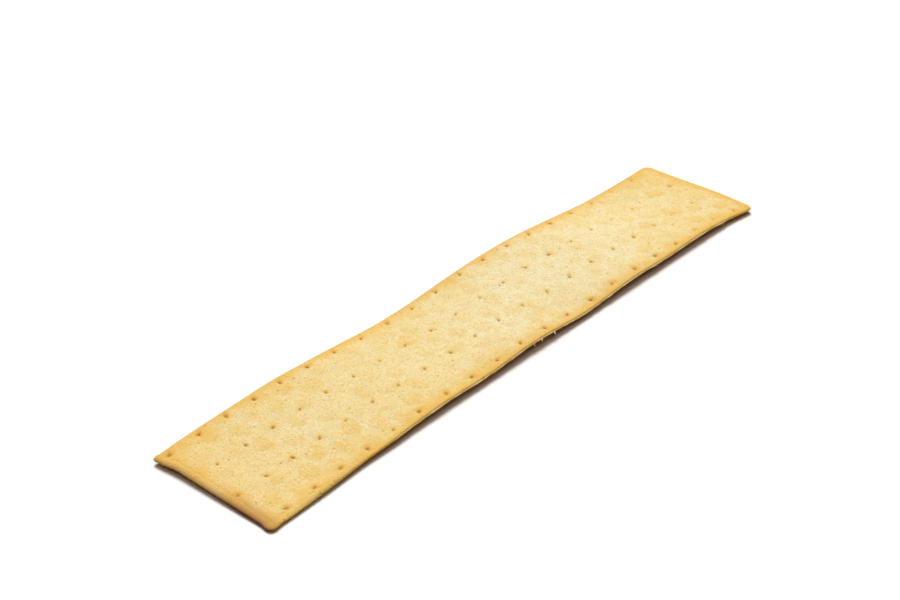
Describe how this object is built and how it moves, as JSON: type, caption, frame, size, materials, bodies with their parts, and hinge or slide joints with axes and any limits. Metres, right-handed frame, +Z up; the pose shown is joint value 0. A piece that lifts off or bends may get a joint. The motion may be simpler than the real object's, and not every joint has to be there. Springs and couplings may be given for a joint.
{
  "type": "crispy flatbread",
  "caption": "Long thin strip of crisp docked flatbread, warped in baking, with staggered pin holes, low round blisters and a browned rolled rim; lies on a plate or board.",
  "frame": {"origin": "middle of the strip's footprint, on the surface that it lies on", "axes": "+X along the strip towards the end that rests on its back corner, +Y across it towards the edge that lifts most, +Z up out of the docked face"},
  "size_m": [0.2504, 0.0492, 0.006],
  "materials": {
    "crust": "dry matt baked crust, pale cream with golden blisters and a browner rim"
  },
  "bodies": {
    "root": {"flatbread": "crust"}
  },
  "joints": []
}
